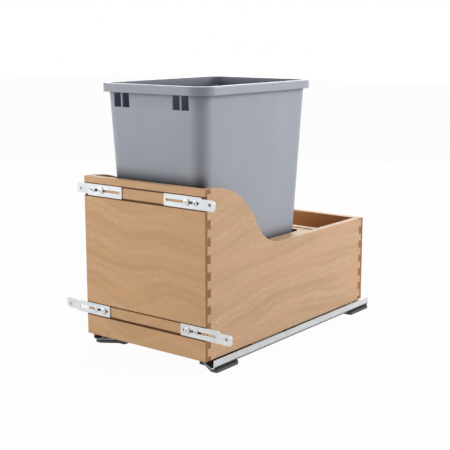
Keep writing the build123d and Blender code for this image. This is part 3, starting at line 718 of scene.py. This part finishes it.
@dataclass(frozen=True)
class SteelFinish(Finish):
    """Zinc-plated steel with rolling marks and a faint mottle; it can also paint shade along a bend and
    round holes, and a highlight on sheared ends.
    """

    metallic: float = 0.75
    grain: Grain = Grain.ACROSS
    dark_mottle: Triple = (0.93, 0.935, 0.95)
    light_mottle: Triple = (1.05, 1.05, 1.05)
    streak: Detail = Detail(0.12, (0.75, 0.75, 0.77))
    film: Detail = Detail(0.15, (0.8, 0.79, 0.77))
    # Line and tint of painted shade along the underside of a bend.
    bend_shade_line: Line | None = None
    fold_shade: Detail = Detail(0.95, (0.07, 0.075, 0.08))
    # Painted highlight on faces cut across the length; bare cut steel is also lighter than the zinc.
    sheared_highlight: float = 0.0
    sheared_highlight_colour: Triple = (0.96, 0.965, 0.95)
    # Painted shade inside and round the holes at these x and z.
    shaded_holes: tuple[Pair, ...] = ()
    hole_radius: float = 0.0029
    hole_blur: float = 0.0003
    hole_shade_tint: Triple = (0.05, 0.05, 0.05)
    gloss_change: float = 0.2
    mark_depth: float = 0.00004

    def make(self, effects: Effects) -> Material:
        """Build the material.

        Args:
            effects: the shared node groups.

        Returns:
            The material.
        """
        material, web, shader, place = self.start()
        shader.inputs["Metallic"].default_value = self.metallic
        turned = web.add("ShaderNodeMapping", {"Vector": place, "Rotation": self.grain.value})
        marks = web.effect(effects.brushing, {"Vector": turned.outputs[0]}).outputs
        tone = web.mix(
            web.fade(marks["Mottle"], 0.35, 0.7),
            tinted(self.colour, self.dark_mottle), tinted(self.colour, self.light_mottle),
        )
        tone = self.lay(web, tone, web.fade(marks["Marks"], 0.45, 0.8), self.streak)
        film = self.film_mask(effects, web, place, self.film)
        tone = web.mix(film, tone, tinted(self.colour, self.film.tint))
        # Painted shade along the bend.
        if self.bend_shade_line:
            mask = self.line_mask(effects, web, web.split(place)[2], self.bend_shade_line)
            tone = self.lay(web, tone, mask, self.fold_shade)
        # Painted shade inside and round each hole.
        for centre_x, centre_z in self.shaded_holes:
            apart = web.vector("SUBTRACT", place, (centre_x, 0.0, centre_z))
            reach = web.vector("LENGTH", web.vector("MULTIPLY", apart, (1.0, 0.0, 1.0)))
            rim = web.fade(reach, self.hole_radius, self.hole_radius + self.hole_blur, 1.0, 0.0)
            tone = web.mix(rim, tone, tinted(self.colour, self.hole_shade_tint))
        # Painted highlight on the sheared ends, partly the lighter bare steel.
        if self.sheared_highlight:
            normal = web.add("ShaderNodeTexCoord").outputs["Normal"]
            end = web.fade(web.math("ABSOLUTE", web.split(normal)[1]), 0.8, 0.95)
            tone = web.mix(web.math("MULTIPLY", end, self.sheared_highlight), tone, self.sheared_highlight_colour)
        web.join(tone, shader.inputs["Base Color"])
        web.join(self.gloss(web, marks["Mottle"], self.gloss_change), shader.inputs["Roughness"])
        self.bump(web, shader, marks["Marks"], self.mark_depth, strength=0.3)
        return material


# ---------------------------------------------------------------- shared making
def dress(node: str, material: Material) -> None:
    """Give a CAD node its material and report it.

    Args:
        node: the node's name.
        material: its finish.
    """
    slots = frame["nodes"][node].data.materials
    slots.clear()
    slots.append(material)
    log.info("dressed %s", node)


def upright_axis(node: str) -> Pair:
    """Find x and y of the upright line through a node's middle."""
    low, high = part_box(node)
    return (low.x + high.x) / 2, (low.y + high.y) / 2


def door_screw_pairs() -> list[Pair]:
    """Read from the record where the pairs of door screws go, each in the middle of a dado's height.

    Returns:
        Half the spacing and the height of each pair.
    """
    to_metres = 0.001
    return [
        (mount["dims"]["spacing_x_mm"] * to_metres / 2, mount["pos_m"][2])
        for mount in frame["record"]["mounts"]
        if mount["name"].startswith("door_screws")
    ]


def plain_mesh(carrier: Object, name: str, body: str) -> Object:
    """Turn an object with modifiers into a plain mesh piece that rides on a body.

    Args:
        carrier: the object whose modifiers make the shape.
        name: the piece's name.
        body: the body it rides on.

    Returns:
        The finished piece.
    """
    graph = bpy.context.evaluated_depsgraph_get()
    mesh = bpy.data.meshes.new_from_object(carrier.evaluated_get(graph), depsgraph=graph)
    mesh.name = name
    carrier.modifiers.clear()
    carrier.data = mesh
    carrier.name = name
    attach(carrier, body)
    return carrier


def point_cloud(name: str, spots: Iterable[Triple]) -> Object:
    """Make an object that only holds points.

    Args:
        name: its name.
        spots: the points.

    Returns:
        The object, linked to the scene.
    """
    mesh = bpy.data.meshes.new(name)
    mesh.from_pydata(list(spots), [], [])
    carrier = bpy.data.objects.new(name, mesh)
    bpy.context.scene.collection.objects.link(carrier)
    return carrier


def grow(carrier: Object, tree: NodeTree, values: dict[str, object]) -> None:
    """Run a geometry tree on an object.

    Args:
        carrier: the object.
        tree: the geometry node group.
        values: input name to value.
    """
    modifier = carrier.modifiers.new("grow", "NODES")
    modifier.node_group = tree
    for item in tree.interface.items_tree:
        if item.item_type == "SOCKET" and item.in_out == "INPUT" and item.name in values:
            modifier[item.identifier] = values[item.name]


# ---------------------------------------------------------------- bracket screws
class DomedScrewTree:
    """Geometry tree that sets a domed screw with a cross recess on every point.

    A screw's seat lies on its point, with the head above it and the shank below. RECESS_REACH and
    RECESS_BAND tell which faces lie in the recess, as shares of its width and of its depth.
    """

    SIZES = (
        "Head Radius", "Head Height", "Dome", "Shank Radius", "Shank Length", "Recess Width",
        "Recess Slot", "Recess Depth",
    )
    HEAD_FACETS = {"Vertices": 40, "Side Segments": 3, "Fill Segments": 6}
    SHANK_FACETS = {"Vertices": 20}
    DOME_POWER = 4.0
    RECESS_REACH = 0.53
    RECESS_BAND = (0.3, 1.2)

    def __init__(self) -> None:
        """Make the tree with its inputs and the values that several steps share."""
        self.tree = bpy.data.node_groups.new("domed_screws", "GeometryNodeTree")
        sockets = [("Geometry", GEOMETRY), *((label, FLOAT) for label in self.SIZES)]
        sockets += [("Turn", "NodeSocketRotation"), ("Finish", "NodeSocketMaterial")]
        # The recess faces get a darker finish, which is painted shade.
        sockets += [("Recess Shade Finish", "NodeSocketMaterial")]
        for label, kind in sockets:
            self.tree.interface.new_socket(label, in_out="INPUT", socket_type=kind)
        self.tree.interface.new_socket("Geometry", in_out="OUTPUT", socket_type=GEOMETRY)
        self.web = Web(self.tree)
        self.given = self.web.add("NodeGroupInput").outputs
        x, y, self.height = self.web.split(self.web.add("GeometryNodeInputPosition").outputs[0])
        squares = (self.web.math("MULTIPLY", side, side) for side in (x, y))
        self.reach = self.web.math("SQRT", self.web.math("ADD", *squares))

    def upward(self, distance: NodeSocket) -> NodeSocket:
        """Make a vector that points up by a distance."""
        return self.web.add("ShaderNodeCombineXYZ", {"Z": distance}).outputs[0]

    def lifted(self, shape: NodeSocket, rise: NodeSocket) -> NodeSocket:
        """Move a whole shape up."""
        values = {"Geometry": shape, "Translation": self.upward(rise)}
        return self.web.add("GeometryNodeTransform", values).outputs[0]

    def cylinder(
        self, facets: dict[str, int], radius: str, length: str, rise: float, ends: str = "NGON",
    ) -> NodeSocket:
        """Make a cylinder that stands on its point or hangs from it.

        Args:
            facets: its numbers of sides and segments.
            radius: the input that holds its radius.
            length: the input that holds its length.
            rise: how far its middle is lifted, in lengths.
            ends: how its ends are filled.

        Returns:
            The cylinder.
        """
        values = {**facets, "Radius": self.given[radius], "Depth": self.given[length]}
        mesh = self.web.add("GeometryNodeMeshCylinder", values, fill_type=ends).outputs["Mesh"]
        return self.lifted(mesh, self.web.math("MULTIPLY", self.given[length], rise))

    def domed_head(self) -> NodeSocket:
        """Make the head, whose top falls off towards its rim.

        Returns:
            The head without its recess.
        """
        web, given = self.web, self.given
        head = self.cylinder(self.HEAD_FACETS, "Head Radius", "Head Height", 0.5, "TRIANGLE_FAN")
        share = web.math("DIVIDE", self.reach, given["Head Radius"])
        sink = web.math("MULTIPLY", web.math("POWER", share, self.DOME_POWER), given["Dome"])
        high = web.math("DIVIDE", self.height, given["Head Height"])
        drop = web.math("MULTIPLY", web.math("MULTIPLY", sink, high), -1.0)
        values = {"Geometry": head, "Offset": self.upward(drop)}
        return web.add("GeometryNodeSetPosition", values).outputs[0]

    def cut_cross(self, head: NodeSocket) -> tuple[NodeSocket, NodeSocket]:
        """Cut the cross recess and tell its faces from the rest.

        Args:
            head: the head.

        Returns:
            The cut head, and a field that is true on the faces inside the recess.
        """
        web, given = self.web, self.given
        cut = web.add("GeometryNodeMeshBoolean", {"Mesh 1": head}, operation="DIFFERENCE", solver="EXACT")
        for along_x, along_y in (("Recess Width", "Recess Slot"), ("Recess Slot", "Recess Width")):
            deep = web.math("MULTIPLY", given["Recess Depth"], 2.0)
            size = web.add("ShaderNodeCombineXYZ", {"X": given[along_x], "Y": given[along_y], "Z": deep})
            bar = web.add("GeometryNodeMeshCube", {"Size": size.outputs[0]}).outputs["Mesh"]
            web.join(self.lifted(bar, given["Head Height"]), cut.inputs["Mesh 2"])
        marked = web.add("GeometryNodeCaptureAttribute", domain="FACE")
        marked.capture_items.new("BOOLEAN", "Recess")
        web.join(cut.outputs[0], marked.inputs["Geometry"])
        sunk = web.math("SUBTRACT", given["Head Height"], self.height)
        sunk = web.math("DIVIDE", sunk, given["Recess Depth"])
        widest = web.math("MULTIPLY", given["Recess Width"], self.RECESS_REACH)
        inside = web.math("LESS_THAN", self.reach, widest)
        first, last = self.RECESS_BAND
        level = web.math(
            "MULTIPLY", web.math("GREATER_THAN", sunk, first), web.math("LESS_THAN", sunk, last),
        )
        web.join(web.math("MULTIPLY", inside, level), marked.inputs["Recess"])
        return marked.outputs["Geometry"], marked.outputs["Recess"]

    def build(self) -> NodeTree:
        """Join head and shank, set them on the points and give them their finishes, with painted shade in
        the recess.

        Returns:
            The geometry node group.
        """
        web, given = self.web, self.given
        head, recess = self.cut_cross(self.domed_head())
        shank = self.cylinder(self.SHANK_FACETS, "Shank Radius", "Shank Length", -0.5)
        both = web.add("GeometryNodeJoinGeometry")
        for piece in (head, shank):
            web.join(piece, both.inputs[0])
        set_out = web.add("GeometryNodeInstanceOnPoints", {
            "Points": given["Geometry"], "Instance": both.outputs[0], "Rotation": given["Turn"],
        }).outputs[0]
        real = web.add("GeometryNodeRealizeInstances", {"Geometry": set_out}).outputs[0]
        plated = web.add("GeometryNodeSetMaterial", {"Geometry": real, "Material": given["Finish"]})
        finished = web.add("GeometryNodeSetMaterial", {
            "Geometry": plated.outputs[0], "Selection": recess, "Material": given["Recess Shade Finish"],
        })
        web.join(finished.outputs[0], web.add("NodeGroupOutput").inputs[0])
        return self.tree


@dataclass(frozen=True)
class ScrewSet:
    """Screws of one kind, grown by the geometry tree in place of a CAD node.

    Dome and recess depth are shares of the head's height, the seat radius is how far the CAD
    node's box reaches past the screws' middles, and turn points the heads to the front.
    """

    node: str
    slot: str
    head_radius: float
    head_height: float
    recess_width: float
    # Darker finish of the cross recess, painted shade.
    recess_shade_finish: SteelFinish
    recess_slot: float = 0.0011
    recess_depth: float = 0.5
    dome: float = 0.2
    shank_radius: float = 0.002
    seat_radius: float = 0.006
    turn: Triple = (radians(90.0), 0.0, 0.0)

    def spots(self, seat: float) -> list[Triple]:
        """Place the screws at the corners of the CAD node's box.

        Args:
            seat: y of the face that the heads bear on.

        Returns:
            The middle of each screw's seat.
        """
        low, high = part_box(self.node)
        return [
            (x, seat, z)
            for x in (low.x + self.seat_radius, high.x - self.seat_radius)
            for z in (low.z + self.seat_radius, high.z - self.seat_radius)
        ]

    def build(
        self, effects: Effects, tree: NodeTree, body: str, finish: Material, seat: float, tip: float,
    ) -> Object:
        """Grow the screws and let them stand for the CAD node.

        Args:
            effects: the shared node groups.
            tree: the geometry tree.
            body: the body they ride on.
            finish: the material of heads and shanks.
            seat: y of the face that the heads bear on.
            tip: y of the shanks' ends.

        Returns:
            The finished piece.
        """
        carrier = point_cloud(self.node, self.spots(seat))
        grow(carrier, tree, {
            "Head Radius": self.head_radius, "Head Height": self.head_height,
            "Dome": self.head_height * self.dome, "Shank Radius": self.shank_radius,
            "Shank Length": tip - seat, "Recess Width": self.recess_width,
            "Recess Slot": self.recess_slot, "Recess Depth": self.head_height * self.recess_depth,
            "Turn": self.turn, "Finish": finish, "Recess Shade Finish": self.recess_shade_finish.make(effects),
        })
        piece = plain_mesh(carrier, f"{self.node}_heads", body)
        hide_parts(self.node)
        log.info("grew %s", self.node)
        return piece


# ---------------------------------------------------------------- sub-assemblies
@dataclass
class WoodenBox:
    """The dovetailed box with its deck, divider, floor and cleats."""

    # front_tone, used by the front and back boards, is lighter than side_tone: partly the boards' own
    # tone, partly painted light for the front face, which gets less light.
    front_tone: Triple = (0.630, 0.404, 0.223)
    side_tone: Triple = (0.573, 0.388, 0.246)
    panel_tone: Triple = (0.60, 0.39, 0.235)
    lacquer: float = 0.46
    dado_height: float = 0.0236
    dado_line: float = 0.0025

    def inner_shade(self) -> Shelter:
        """Paint shade on the rear board's inner face down to the deck."""
        margin = 0.02
        return Shelter(
            dark=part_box("bin_platform")[1].z - margin, clear=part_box("back_board")[1].z + margin,
            strength=0.85, facing=Side.FRONT, power=0.5, depth=(0.54, 0.27, 0.07),
        )

    def opening_shade(self) -> Shelter:
        """Paint shade on the edge of the deck's opening where the bin stands close."""
        deck_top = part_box("bin_platform")[1].z
        return Shelter(
            dark=deck_top - 0.002, clear=deck_top + 0.012, strength=0.9,
            axis=upright_axis("bin"), contact=0.25, depth=(0.12, 0.09, 0.07),
        )

    def finishes(self) -> tuple[WoodFinish, ...]:
        """List every board's wood, named for its node.

        Returns:
            The finishes.
        """
        front, side, panel, lacquer = self.front_tone, self.side_tone, self.panel_tone, self.lacquer
        return (
            WoodFinish("front_board_wood", front, lacquer, shift=(0.19, 0.0, 0.05), wander=0.09,
                       arch=0.0, sway=-0.011, band_pitch=0.021, figure_depth=0.85),
            WoodFinish("back_board_wood", front, lacquer, shift=(0.3, 0.2, 0.0),
                       shelters=(self.inner_shade(),)),
            WoodFinish("side_board_right_wood", side, lacquer, grain=Grain.ALONG,
                       shift=(-0.05, 0.0, 0.1), wander=0.06, arch=0.43, band_pitch=0.019),
            WoodFinish("side_board_left_wood", side, lacquer, grain=Grain.ALONG, shift=(0.45, 0.3, 0.2)),
            WoodFinish("divider_board_wood", side, lacquer, shift=(0.7, 0.1, 0.3)),
            WoodFinish("bin_platform_wood", panel, lacquer, shift=(0.9, 0.5, 0.1),
                       shelters=(self.opening_shade(),)),
            WoodFinish("bottom_panel_wood", panel, lacquer, grain=Grain.ALONG, shift=(0.2, 0.9, 0.4)),
            WoodFinish("platform_cleat_left_wood", panel, lacquer, grain=Grain.ALONG),
            WoodFinish("platform_cleat_right_wood", panel, lacquer, grain=Grain.ALONG),
        )

    def dress(self, effects: Effects) -> None:
        """Give every board its wood, and the front board dark lines along its dado edges, partly painted
        shade.

        Args:
            effects: the shared node groups.
        """
        edges = [
            Line(middle + way * self.dado_height / 2, self.dado_line)
            for _, middle in door_screw_pairs() for way in (1, -1)
        ]
        for finish in self.finishes():
            node = finish.name.removesuffix("_wood")
            low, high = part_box(node)
            dress(node, finish.make(effects, low, high, edges if node == "front_board" else ()))


@dataclass
class Bin:
    """The grey lift-out bin.

    The shadows are the heights over which the painted shade fades out: above the front board, above the
    deck, inside, inside near the front wall, and under the rim.
    """

    colour: Triple = (0.315, 0.337, 0.388)
    roughness: float = 0.34
    wall_shadow: float = 0.024
    deck_shadow: float = 0.022
    inner_shadow: float = 0.034
    near_shadow: float = 0.012
    near_top: float = 0.010
    near_reach: float = 0.09
    rim_height: float = 0.015
    rim_shadow: float = 0.03

    def shelters(self) -> tuple[Shelter, ...]:
        """List the bands of painted shade where the bin's walls get little light.

        Returns:
            The bands at the front board, at the deck, under the rim, and two inside.
        """
        low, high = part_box("bin")
        board_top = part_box("front_board")[1].z
        deck_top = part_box("bin_platform")[1].z
        rim_edge = high.z - self.rim_height
        near_top = high.z - self.near_top
        axis = upright_axis("bin")
        return (
            Shelter(dark=board_top - 0.004, clear=board_top + self.wall_shadow, strength=0.95,
                    facing=Side.FRONT, power=1.3, foot=0.012, contact=0.2),
            Shelter(dark=deck_top - 0.002, clear=deck_top + self.deck_shadow, strength=0.95,
                    facing=Side.RIGHT, power=1.3, foot=0.010, contact=0.2),
            Shelter(dark=rim_edge, clear=rim_edge - self.rim_shadow, strength=0.17,
                    facing=Side.FRONT, power=0.5),
            Shelter(dark=high.z - self.inner_shadow, clear=high.z + 0.008, strength=0.9, axis=axis,
                    power=0.55, depth=(0.04, 0.05, 0.11), corner_relief=1.4),
            Shelter(dark=near_top - self.near_shadow, clear=near_top, strength=0.95, axis=axis,
                    before=low.y + self.near_reach, depth=(0.03, 0.045, 0.11)),
        )

    def dress(self, effects: Effects) -> None:
        """Give the bin its plastic, with painted shade in its sheltered bands."""
        finish = PlasticFinish("bin_plastic", self.colour, self.roughness, grain=1400.0, depth=0.00005,
                               tone_change=0.035, shelters=self.shelters())
        dress("bin", finish.make(effects))


@dataclass
class DoorBrackets:
    """Slotted plates, their screws and the bushings behind them."""

    plate_finish: SteelFinish = SteelFinish("bracket_zinc", (0.71, 0.73, 0.74), 0.42, metallic=0.45)
    screw_finish: SteelFinish = SteelFinish("bracket_screw_zinc", (0.72, 0.73, 0.73), 0.4, metallic=0.4)
    bushing_finish: PlasticFinish = PlasticFinish("bushing_plastic", (0.012, 0.012, 0.013), 0.5)
    pan_screws: ScrewSet = ScrewSet(
        "bracket_pan_screws", "screw_steel", head_radius=0.006, head_height=0.003, recess_width=0.0036,
        # The recess finishes are painted shade in the cross recesses.
        recess_shade_finish=SteelFinish("pan_screw_recess_shade", (0.42, 0.38, 0.36), 0.6, metallic=0.3),
    )
    clamp_screws: ScrewSet = ScrewSet(
        "bracket_clamp_screws", "dark_screw_steel", head_radius=0.0047, head_height=0.0016,
        recess_width=0.0056,
        recess_shade_finish=SteelFinish("clamp_screw_recess_shade", (0.12, 0.12, 0.13), 0.6, metallic=0.3),
    )

    def build(self, effects: Effects, tree: NodeTree) -> None:
        """Dress the plates and bushings, and grow the screws.

        Args:
            effects: the shared node groups.
            tree: the geometry tree of the screws.
        """
        # Holes round which the plate paints shade.
        shaded_holes = tuple((way * half, height) for half, height in door_screw_pairs() for way in (1, -1))
        plate = replace(self.plate_finish, shaded_holes=shaded_holes).make(effects)
        for level in ("upper", "lower"):
            for side in ("left", "right"):
                dress(f"door_bracket_{level}_{side}", plate)
        dress("bracket_bushings", self.bushing_finish.make(effects))
        finish = self.screw_finish.make(effects)
        low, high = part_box(self.pan_screws.node)
        seat = low.y + self.pan_screws.head_height
        for screws in (self.pan_screws, self.clamp_screws):
            screws.build(effects, tree, "box", finish, seat, high.y)


@dataclass
class Slides:
    """The pair of slides with rollers, dampers, clips, levers and feet."""

    # Both rolled finishes below paint a highlight on their sheared ends.
    member_finish: SteelFinish = SteelFinish(
        "member_zinc", (0.62, 0.635, 0.64), 0.36, metallic=0.35, grain=Grain.ALONG,
        # bend_shade_line paints shade under the lower bend.
        bend_shade_line=Line(place=0.0103, width=0.0030), sheared_highlight=0.95,
    )
    rail_finish: SteelFinish = SteelFinish(
        "rail_zinc", (0.55, 0.56, 0.57), 0.32, metallic=0.35, grain=Grain.ALONG, sheared_highlight=0.95,
    )
    roller_finish: SteelFinish = SteelFinish("ground_steel", (0.60, 0.61, 0.63), 0.22, metallic=0.95)
    screw_finish: SteelFinish = SteelFinish("small_screw_zinc", (0.58, 0.58, 0.58), 0.35, metallic=0.8)
    cage_finish: PlasticFinish = PlasticFinish("cage_nylon", (0.70, 0.70, 0.66), 0.45)
    clip_finish: PlasticFinish = PlasticFinish("clip_plastic", (0.11, 0.115, 0.125), 0.5)
    lever_finish: PlasticFinish = PlasticFinish("lever_plastic", (0.26, 0.27, 0.29), 0.5)
    # The foot's two lines are painted shade: under the slide's lower edge and along the foot's base.
    foot_finish: PlasticFinish = PlasticFinish(
        "foot_plastic", (0.058, 0.06, 0.058), 0.5,
        lines=(Line(place=0.0074, width=0.0022), Line(place=0.0, width=0.0022)),
    )

    def dress(self, effects: Effects) -> None:
        """Dress every node of the slides.

        Args:
            effects: the shared node groups.
        """
        kinds = {
            self.member_finish: ("cabinet_member", "drawer_member"),
            self.rail_finish: ("slide_rail",),
            self.roller_finish: ("lower_rollers", "upper_rollers", "damper_plunger"),
            self.cage_finish: ("lower_cage", "upper_cage"),
            self.clip_finish: ("locking_clip", "damper"),
            self.lever_finish: ("release_lever",),
            self.foot_finish: ("front_foot", "rear_foot"),
        }
        for finish, pieces in kinds.items():
            material = finish.make(effects)
            for piece in pieces:
                for side in ("left", "right"):
                    dress(f"{piece}_{side}", material)
        small_screws = self.screw_finish.make(effects)
        for node in ("foot_screws", "clip_screws", "cleat_screws"):
            dress(node, small_screws)


# ---------------------------------------------------------------- stage
@dataclass(frozen=True)
class Lamp:
    """A square soft lamp, with its power in watts."""

    name: str
    place: Triple
    aim: Triple
    size: float
    power: float

    def hang(self) -> None:
        """Add the lamp to the scene, turned to what it lights."""
        light = bpy.data.lights.new(self.name, "AREA")
        light.size = self.size
        light.energy = self.power
        holder = bpy.data.objects.new(self.name, light)
        bpy.context.scene.collection.objects.link(holder)
        holder.location = self.place
        holder.rotation_euler = (Vector(self.aim) - Vector(self.place)).to_track_quat("-Z", "Y").to_euler()


@dataclass
class Studio:
    """White floor, lamps and the camera, whose turn is in degrees and lens and film in millimetres."""

    floor_reach: float = 9.0
    floor_white: float = 0.6
    floor_roughness: float = 0.9
    clear_white: float = 0.965
    world_light: float = 0.42
    camera_place: Triple = (1.2373, -1.64305, 0.6216)
    camera_turn: Triple = (78.92, 0.0, 37.62)
    lens: float = 79.7
    film_width: float = 36.0
    lamps: tuple[Lamp, ...] = (
        Lamp("right_lamp", place=(1.95, 1.3, 1.3), aim=(0.0, 0.0, 0.3), size=1.2, power=50.0),
        Lamp("front_lamp", place=(-1.7, -1.95, 1.1), aim=(0.0, 0.0, 0.3), size=1.2, power=38.0),
        Lamp("back_lamp", place=(-1.4, 2.1, 1.0), aim=(0.0, 0.0, 0.35), size=1.8, power=24.0),
    )

    def camera_white(self, web: Web) -> NodeSocket:
        """Tell the rays that see the background from those that light the object.

        Args:
            web: the web to add to.

        Returns:
            A socket that is 1 for camera, glossy and transmission rays.
        """
        path = web.add("ShaderNodeLightPath").outputs
        seen = web.math("MAXIMUM", path["Is Camera Ray"], path["Is Glossy Ray"])
        return web.math("MAXIMUM", seen, path["Is Transmission Ray"])

    def floor_material(self) -> Material:
        """Make the floor white to the camera, and still shaded by the object.

        Returns:
            The material.
        """
        material = bpy.data.materials.new("studio_floor")
        material.use_nodes = True
        web = Web(material.node_tree)
        shader = material.node_tree.nodes["Principled BSDF"]
        shader.inputs["Base Color"].default_value = (*(self.floor_white,) * 3, 1.0)
        shader.inputs["Roughness"].default_value = self.floor_roughness
        shader.inputs["Specular IOR Level"].default_value = 0.0
        glow = web.add("ShaderNodeEmission", {"Strength": 1.0})
        share = web.math("MULTIPLY", self.camera_white(web), self.clear_white)
        blend = web.add("ShaderNodeMixShader", {0: share, 1: shader.outputs[0], 2: glow.outputs[0]})
        web.join(blend.outputs[0], material.node_tree.nodes["Material Output"].inputs["Surface"])
        return material

    def build_floor(self) -> None:
        """Lay the floor under the object."""
        reach = self.floor_reach
        mesh = bpy.data.meshes.new("studio_floor")
        corners = [(-reach, -reach, 0.0), (reach, -reach, 0.0), (reach, reach, 0.0), (-reach, reach, 0.0)]
        mesh.from_pydata(corners, [], [(0, 1, 2, 3)])
        mesh.materials.append(self.floor_material())
        floor = bpy.data.objects.new("studio_floor", mesh)
        bpy.context.scene.collection.objects.link(floor)

    def build_world(self) -> None:
        """Surround the scene with even light and a white background."""
        world = bpy.data.worlds.new("studio_world")
        world.use_nodes = True
        bpy.context.scene.world = world
        web = Web(world.node_tree)
        back = world.node_tree.nodes["Background"]
        back.inputs["Color"].default_value = (1.0, 1.0, 1.0, 1.0)
        seen = self.camera_white(web)
        strength = web.math("MULTIPLY_ADD", seen, 1.0 - self.world_light, self.world_light)
        web.join(strength, back.inputs["Strength"])

    def build_camera(self) -> None:
        """Set the camera at the angle of the photograph."""
        data = bpy.data.cameras.new("photo_camera")
        data.lens = self.lens
        data.sensor_width = self.film_width
        camera = bpy.data.objects.new("photo_camera", data)
        bpy.context.scene.collection.objects.link(camera)
        camera.location = self.camera_place
        camera.rotation_euler = tuple(radians(angle) for angle in self.camera_turn)
        bpy.context.scene.camera = camera

    def build(self) -> None:
        """Set up floor, world, lamps, camera and view."""
        self.build_floor()
        self.build_world()
        for lamp in self.lamps:
            lamp.hang()
        self.build_camera()
        bpy.context.scene.view_settings.view_transform = "Standard"
        log.info("built studio")


def main() -> None:
    """Dress the cabinet, part by part, and set the studio."""
    logging.basicConfig(level=logging.INFO, format="%(name)s: %(message)s")
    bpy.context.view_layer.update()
    effects = Effects(
        figure=figure_group(), arris=arris_group(), line=line_group(), pebble=pebble_group(),
        brushing=brushing_group(), grime=grime_group(), shelter=shelter_group(),
    )
    WoodenBox().dress(effects)
    Bin().dress(effects)
    DoorBrackets().build(effects, DomedScrewTree().build())
    Slides().dress(effects)
    Studio().build()


if __name__ == "__main__":
    main()
